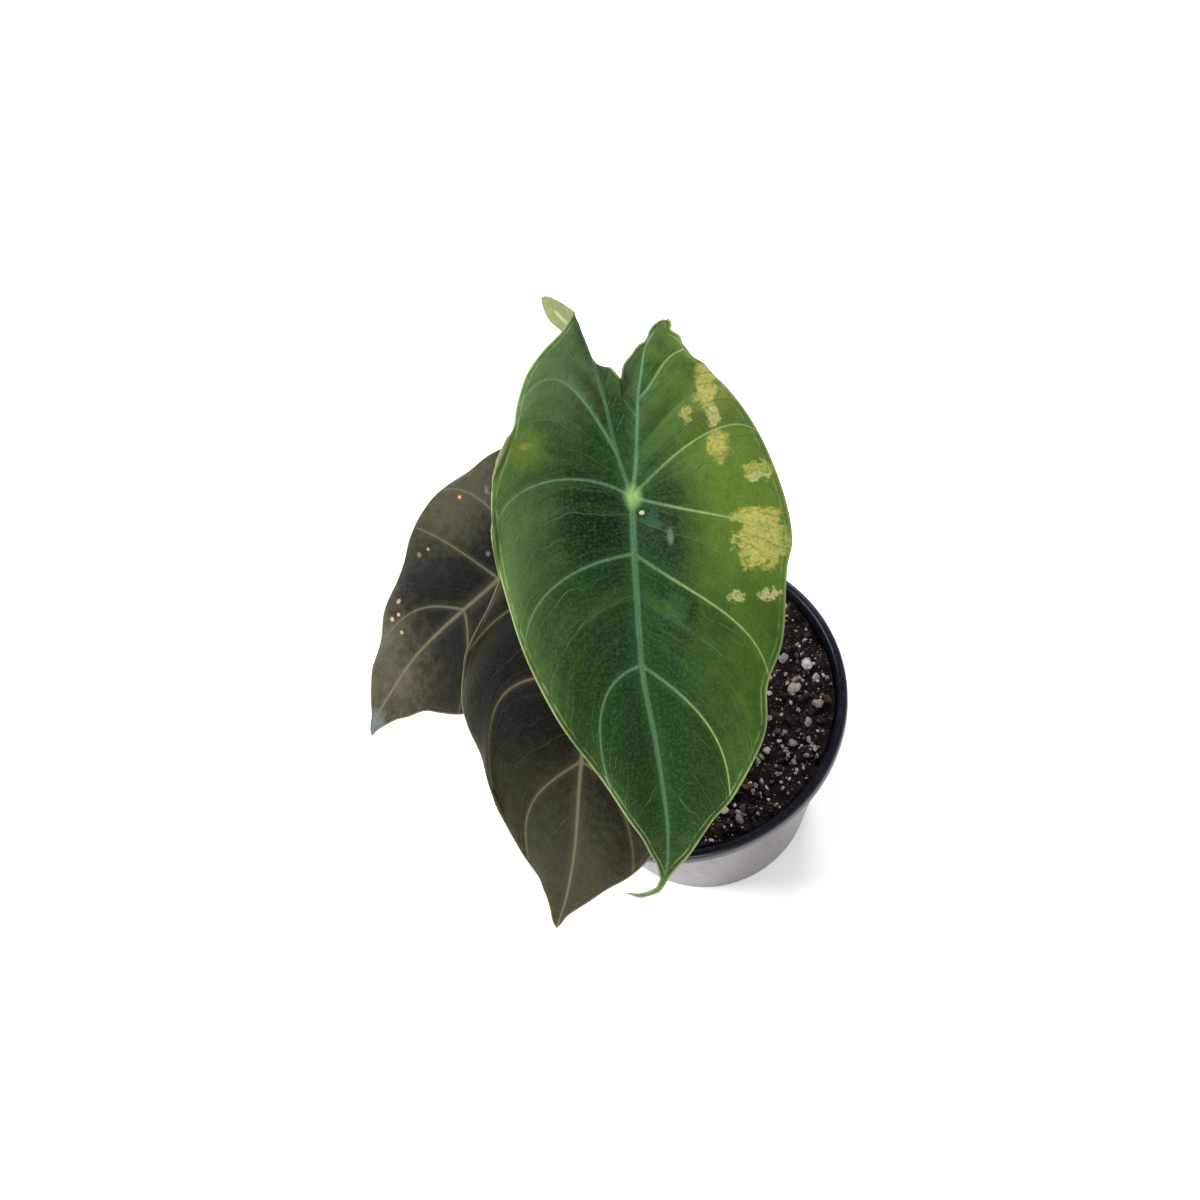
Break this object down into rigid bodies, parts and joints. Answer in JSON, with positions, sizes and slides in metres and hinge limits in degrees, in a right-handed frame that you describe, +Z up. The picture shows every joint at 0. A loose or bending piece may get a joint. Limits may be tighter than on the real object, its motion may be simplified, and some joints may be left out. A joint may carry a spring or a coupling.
{
  "type": "potted nairobi nights alocasia",
  "caption": "Young alocasia with arrow-shaped, ribbed leaves with two back lobes, on arching stems, growing in a round tapered nursery pot of soil and perlite.",
  "frame": {"origin": "centre of the flat underside of the pot", "axes": "+Z up; the largest leaf points towards -Y and a little towards -X, the left leaf towards -X"},
  "size_m": [0.1578, 0.1646, 0.1941],
  "materials": {
    "pot_plastic": "smooth black moulded plastic",
    "soil": "coarse dark potting mix with pale perlite grains",
    "green_stem": "smooth pale green stem",
    "dark_stem": "smooth dark green-brown stem",
    "green_leaf": "satin green leaf with pale veins",
    "dark_leaf": "satin olive-black leaf with grey-green veins"
  },
  "bodies": {
    "root": {"pot": "pot_plastic", "soil": "soil", "stem_main": "green_stem", "stem_front": "dark_stem", "stem_left": "dark_stem", "blade_main": "green_leaf", "blade_front": "dark_leaf", "blade_left": "dark_leaf"}
  },
  "joints": []
}
